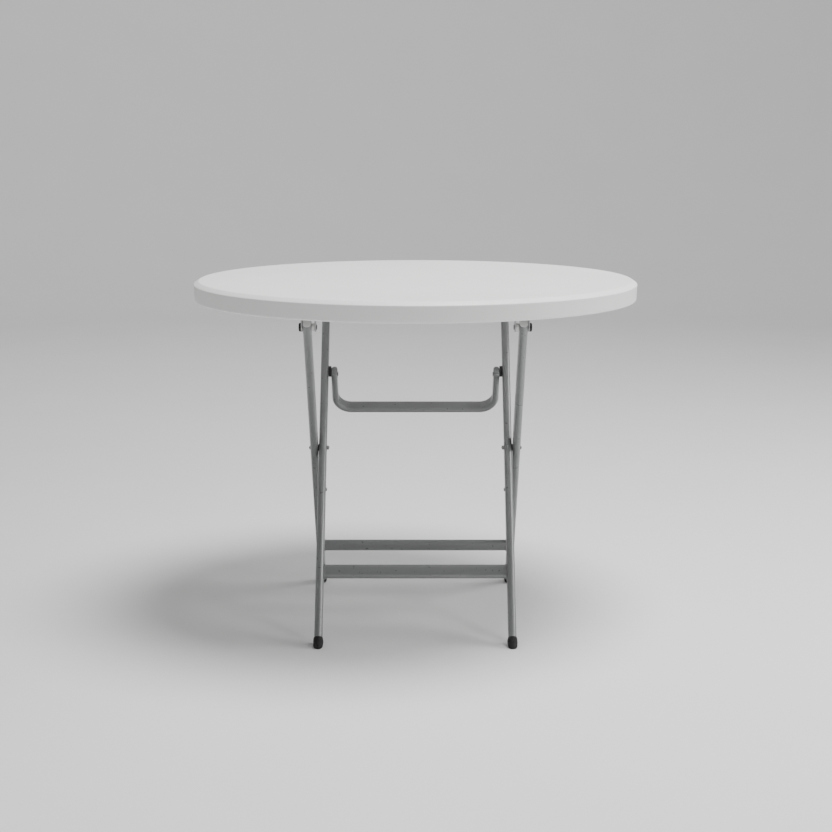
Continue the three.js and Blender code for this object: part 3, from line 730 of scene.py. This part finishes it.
def build_foot(frame_name, axis, side_name):
    """A rubber insert: a bulged head with a rounded sole cut flat to the floor, on a ribbed spigot."""
    name = f"{frame_name}_foot_{side_name}"
    matrix = leg_frame(axis, centre_x(name))
    low, high = local_box(name, matrix)
    tube_low, tube_high = local_box(f"{frame_name}_leg_{side_name}", matrix)
    width = high.x - low.x
    depth = tube_high.y - tube_low.y + width - (tube_high.x - tube_low.x)
    top = tube_low.z - GAP
    up = matrix.to_3x3().col[2].z
    tilt = matrix.to_3x3().col[1].z

    def head_ring(inset, share, lift=0.0):
        points = oval(width, depth, 0, inset)
        for point in points:
            sole = (lift - CROSSING.z - point.y * tilt) / up
            point.z = sole + (top - sole) * share
        return points

    rings = []
    for inset, lift in SOLE_EDGE:
        rings.append(head_ring(inset * MM, 0, lift * MM))
    for inset, share in HEAD_BULGE:
        rings.append(head_ring(inset * MM, share))
    fit = (width - (tube_high.x - tube_low.x)) / 2 + PLUG_FIT
    rings.append(oval(width, depth, top, fit))
    for rib in range(3):
        z = tube_low.z + (4 + 6 * rib) * MM
        rings += [oval(width, depth, z + rise * MM, fit + inset * MM) for rise, inset in SPIGOT_RIB]
    rings += [oval(width, depth, high.z - 2 * MM, fit), oval(width, depth, high.z, fit + 1.2 * MM)]
    bm = bmesh.new()
    loft(bm, rings)
    add_piece(name, bm, f"{frame_name}_frame", "foot_rubber", name, matrix)


def evenly(points, count):
    """Points spaced evenly along a closed outline."""
    closed = points + points[:1]
    lengths = [(b - a).length for a, b in zip(closed, closed[1:])]
    total = sum(lengths)
    made = []
    index, walked = 0, 0.0
    for k in range(count):
        target = total * k / count
        while walked + lengths[index] < target:
            walked += lengths[index]
            index += 1
        made.append(closed[index].lerp(closed[index + 1], (target - walked) / lengths[index]))
    return made


def weld_rings(outline, z, radius, ripples):
    """Small rings that follow an outline in the XY plane: a rippled bead of weld."""
    count = ripples * 5
    path = evenly(outline, count)
    rings = []
    for k, point in enumerate(path):
        forward = (path[(k + 1) % count] - path[k - 1]).normalized()
        outward = Vector((forward.y, -forward.x, 0))
        size = radius * (1 + 0.14 * math.sin(2 * math.pi * k / 5) + 0.08 * math.sin(1.7 * k))
        ring = []
        for i in range(8):
            a = 2 * math.pi * i / 8
            ring.append(point + outward * (size * math.cos(a)) + Vector((0, 0, z + size * math.sin(a))))
        rings.append(ring)
    return rings


def build_cross_member(name, body, axis, width, depth):
    """A tube between two legs, its ends welded to them. Its Z is the table's X."""
    base = leg_frame(axis)
    low, high = local_box(name, base)
    middle = base @ Vector((0, (low.y + high.y) / 2, (low.z + high.z) / 2))
    onto_x = Matrix.Rotation(math.pi / 2, 4, "Y")
    quarter = Matrix.Rotation(math.pi / 2, 4, "Z")
    matrix = Matrix.Translation(middle) @ base.to_3x3().to_4x4() @ onto_x @ quarter
    reach = high.x + 0.25 * MM
    bm = bmesh.new()
    loft(bm, tube_rings(width, depth, CROSS_WALL, -reach, reach), loop=True)
    for end in (-1, 1):
        outline = oval(width, depth, 0)
        ripples = max(14, int((width + depth) / WELD_RADIUS))
        loft(bm, weld_rings(outline, end * (high.x - 0.9 * MM), WELD_RADIUS, ripples), loop=True)
    add_piece(name, bm, body, "frame_paint", name, matrix)


def build_frames():
    for frame_name, axis in (("outer", OUTER_AXIS), ("inner", INNER_AXIS)):
        for side_name, _side in SIDES:
            build_leg(frame_name, axis, side_name)
            build_foot(frame_name, axis, side_name)
            plug = f"{frame_name}_top_plug_{side_name}"
            matrix = leg_frame(axis, centre_x(plug))
            body = f"{frame_name}_frame"
            build_plug(plug, body, "grey_plastic", matrix, PLUG_HEAD, PLUG_CROWN, PLUG_FIT)
        stretcher = f"{frame_name}_stretcher"
        build_cross_member(stretcher, f"{frame_name}_frame", axis, STRETCHER_WIDTH, STRETCHER_DEPTH)
    build_cross_member("inner_top_bar", "inner_frame", INNER_AXIS, TOP_BAR, TOP_BAR)


# Crossing bolts, rivets and the swing bar's pivots ------------------------------------------

BOLT_SHANK = 2.8 * MM
BOLT_HEAD = 3 * MM
BOLT_DOME = 4.875 * MM  # radius of the domed head
WASHER_BORE = 3.1 * MM
NUT_BORE = 2.95 * MM
RIVET_PROUD = 2.4 * MM
RIVET_SHANK = 2.5 * MM
BAR_PIN_HEAD = 1.2 * MM
BAR_PIN_SHANK = 3.25 * MM
PIVOT_PLATE_BORE = 3.55 * MM


def build_crossing():
    for side_name, side in SIDES:
        matrix = along_x(CROSSING.y, CROSSING.z, side)
        low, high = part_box(f"crossing_bolt_{side_name}")
        start, end = sorted((abs(low.x), abs(high.x)))
        head = (high.z - low.z) / 2
        profile = [(0, start), (BOLT_SHANK - 0.9 * MM, start), (BOLT_SHANK, start + 0.9 * MM)]
        for turn in range(4):
            z = start + (1.3 + 0.9 * turn) * MM
            profile += [(BOLT_SHANK - 0.35 * MM, z), (BOLT_SHANK, z + 0.45 * MM)]
        under = end - BOLT_HEAD
        profile += [(BOLT_SHANK, under), (head, under), (head, under + 0.6 * MM)]
        profile += arc(0, end - BOLT_DOME, BOLT_DOME, 31, 84, 8)
        profile += [(0, end)]
        name = f"crossing_bolt_{side_name}"
        add_piece(name, turned_solid(profile), "outer_frame", "black_steel", name, matrix)
        build_nut(f"crossing_nut_{side_name}", matrix)
        name = f"crossing_washer_{side_name}"
        low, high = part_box(name)
        start, end = sorted((abs(low.x), abs(high.x)))
        bm = washer(WASHER_BORE, (high.z - low.z) / 2, start, end, 0.2 * MM)
        add_piece(name, bm, "outer_frame", "black_plastic", name, matrix)


def build_nut(name, matrix):
    """A hexagon nut with chamfered corners and a bore."""
    low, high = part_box(name)
    start, end = sorted((abs(low.x), abs(high.x)))
    corner = max(high.y - low.y, high.z - low.z) / 2
    flat = corner * math.cos(math.pi / 6)
    steps = 48
    rings = []
    for k in range(steps):
        a = 2 * math.pi * k / steps
        hexagon = flat / math.cos((a + math.pi / 6) % (math.pi / 3) - math.pi / 6)
        edge = min(hexagon, flat * 1.02)
        shape = [(NUT_BORE, start + 0.5 * MM), (NUT_BORE + 0.5 * MM, start), (edge, start),
                 (hexagon, start + 0.7 * MM), (hexagon, end - 0.7 * MM), (edge, end),
                 (NUT_BORE + 0.5 * MM, end), (NUT_BORE, end - 0.5 * MM)]
        rings.append([(r * math.cos(a), r * math.sin(a), z) for r, z in shape])
    bm = bmesh.new()
    loft(bm, rings, loop=True)
    add_piece(name, bm, "outer_frame", "zinc_steel", name, matrix)


def build_rivets():
    for side_name, side in SIDES:
        name = f"inner_leg_rivet_{side_name}"
        low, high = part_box(name)
        start, end = sorted((abs(low.x), abs(high.x)))
        head = (high.z - low.z) / 2
        under = start + RIVET_PROUD
        profile = [(0, start)] + arc(head - 2 * MM, start + 2 * MM, 2 * MM, -90, 0, 6)
        profile += [(head, under), (RIVET_SHANK, under), (RIVET_SHANK, end), (0, end)]
        place = along_x((low.y + high.y) / 2, (low.z + high.z) / 2, side)
        add_piece(name, turned_solid(profile, 32), "inner_frame", "zinc_steel", name, place)


def build_bar_pivots():
    for side_name, side in SIDES:
        name = f"swing_bar_pin_{side_name}"
        low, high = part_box(name)
        start, end = sorted((abs(low.x), abs(high.x)))
        head = (high.z - low.z) / 2
        under = start + BAR_PIN_HEAD
        profile = [(0, start)] + arc(head - 1 * MM, start + 1 * MM, 1 * MM, -90, 0, 6)
        profile += [(head, under), (BAR_PIN_SHANK, under), (BAR_PIN_SHANK, end), (0, end)]
        matrix = along_x(BAR_PIVOT.y, BAR_PIVOT.z, side)
        add_piece(name, turned_solid(profile, 40), "inner_frame", "black_steel", name, matrix)
        build_pivot_plate(f"pivot_plate_{side_name}")


def build_pivot_plate(name):
    """An oblong plate along the leg with eased edges and a hole for the pivot."""
    matrix = leg_frame(INNER_AXIS, 0, BAR_PIVOT)
    low, high = local_box(name, matrix)
    middle = (low.z + high.z) / 2
    outline = [(point.x, point.y + middle) for point in oval(high.y - low.y, high.z - low.z)]
    plate = soften(extrude(outline, low.x, high.x), 0.7 * MM)
    start, end = 0.1, 0.3  # along X, well past both faces of the plate
    bore = turned_solid([(0, start), (PIVOT_PLATE_BORE, start), (PIVOT_PLATE_BORE, end), (0, end)])
    bore.transform(Matrix.Rotation(math.copysign(math.pi / 2, low.x), 4, "Y"))
    add_piece(name, combined(plate, bore, "DIFFERENCE"), "inner_frame", "black_plastic", name, matrix)


# Swing bar ----------------------------------------------------------------------------------

BAR_THICKNESS = 13.5 * MM
BAR_BEND = 36 * MM  # radius of the U's two corners, along the middle of the tube
BAR_WALL = 1.2 * MM
BAR_PLUG_HEAD = 4 * MM
BAR_PLUG_CROWN = 5.2 * MM
BAR_PLUG_FIT = 1.5 * MM


def bar_stations(arm, top, drop, bend, steps):
    """(x, z, travel) along the middle of the U, from one arm's end to the other."""
    stations = [(-arm, top, -90), (-arm, top - 0.4 * MM, -90)]
    for side in (-1, 1):
        for i in range(steps + 1):
            travel = 90 * i / steps - (90 if side < 0 else 0)
            a = math.radians(travel)
            x = side * (arm - bend) + bend * math.sin(a)
            z = bend - drop - bend * math.cos(a)
            stations.append((x, z, travel))
    return stations + [(arm, top - 0.4 * MM, 90), (arm, top, 90)]


def build_swing_bar():
    matrix = leg_frame(OUTER_AXIS, 0, BAR_PIVOT)
    low, high = local_box("swing_bar", matrix)
    depth = high.y - low.y
    arm = high.x - BAR_THICKNESS / 2
    drop = -low.z - BAR_THICKNESS / 2
    stations = bar_stations(arm, high.z, drop, BAR_BEND, 24)
    rings = []
    ends = (0, len(stations) - 1)
    for inset in (0, BAR_WALL):
        order = stations if inset == 0 else list(reversed(stations))
        for i, (x, z, travel) in enumerate(order):
            a = math.radians(travel)
            eased = 0.35 * MM if i in ends else 0
            shift = eased if inset == 0 else -eased
            ring = []
            for point in oval(BAR_THICKNESS, depth, 0, inset + shift):
                ring.append((x - math.sin(a) * point.x, point.y, z + math.cos(a) * point.x))
            rings.append(ring)
    bm = bmesh.new()
    loft(bm, rings, loop=True)
    add_piece("swing_bar", bm, "swing_bar", "frame_paint", "swing_bar", matrix)
    for side_name, _side in SIDES:
        name = f"swing_bar_plug_{side_name}"
        build_plug(name, "swing_bar", "frame_paint", matrix, BAR_PLUG_HEAD, BAR_PLUG_CROWN, BAR_PLUG_FIT)


# Studio -------------------------------------------------------------------------------------

CAMERA_PLACE = (0.0013, -3.470, 1.0678)
CAMERA_PITCH = 10.244  # degrees below level
CAMERA_LENS = 70.38
SENSOR_WIDTH = 36
WORLD_LIGHT = 0.25


def studio_paper():
    """Matt pale paper with the faintest mottle."""
    look = Look("studio_paper")
    mottle = look.ranged(look.noise(3, 3), 0.3, 0.7)
    look.color(look.mixed(mottle, (0.775, 0.775, 0.775), (0.79, 0.79, 0.79)))
    look.roughness(look.ranged(look.noise(40, 3), 0.3, 0.7, 0.9, 0.96))
    return look.material


def build_studio():
    """A floor that curves up into a plain wall all round."""
    flat, curve, height = 5.5, 2.5, 7.0
    profile = [(0, 0), (1, 0), (3, 0)]
    profile += arc(flat, curve, curve, -90, 0, 16)
    profile += [(flat + curve, height)]
    bm = turned_solid(profile, 96)
    mesh = mesh_from(bm, "studio_floor")
    mesh.flip_normals()
    mesh.materials.append(studio_paper())
    floor = bpy.data.objects.new("studio_floor", mesh)
    bpy.context.scene.collection.objects.link(floor)


def add_light(name, place, target, size, watts):
    data = bpy.data.lights.new(name, "AREA")
    data.shape = "DISK"
    data.size = size
    data.energy = watts
    light = bpy.data.objects.new(name, data)
    light.location = place
    light.rotation_euler = (Vector(target) - Vector(place)).to_track_quat("-Z", "Y").to_euler()
    bpy.context.scene.collection.objects.link(light)


def build_lights():
    add_light("overhead", (0.75, -0.45, 3.9), (0, 0, 0.3), 1.7, 200)
    add_light("front_right", (2.3, -2.55, 2.0), (0, 0, 0.5), 0.8, 20)
    add_light("right", (3.7, 0.1, 2.4), (0, 0, 0.5), 2.6, 100)
    add_light("backdrop", (-0.6, 2.6, 4.4), (-0.3, 7.6, 1.6), 3.0, 85)
    world = bpy.data.worlds.new("studio_world")
    world.use_nodes = True
    background = world.node_tree.nodes["Background"]
    background.inputs["Color"].default_value = (1, 1, 1, 1)
    background.inputs["Strength"].default_value = WORLD_LIGHT
    bpy.context.scene.world = world


def build_camera():
    """About a metre up and three and a half metres in front, looking a little down."""
    data = bpy.data.cameras.new("camera")
    data.sensor_width = SENSOR_WIDTH
    data.lens = CAMERA_LENS
    data.clip_end = 60
    camera = bpy.data.objects.new("camera", data)
    camera.location = CAMERA_PLACE
    camera.rotation_euler = (math.radians(90 - CAMERA_PITCH), 0, 0)
    bpy.context.scene.collection.objects.link(camera)
    bpy.context.scene.camera = camera


build_camera()
build_studio()
build_lights()
build_tabletop()
build_brackets()
build_screws()
build_catches()
build_frames()
build_crossing()
build_rivets()
build_bar_pivots()
build_swing_bar()

bpy.context.view_layer.update()
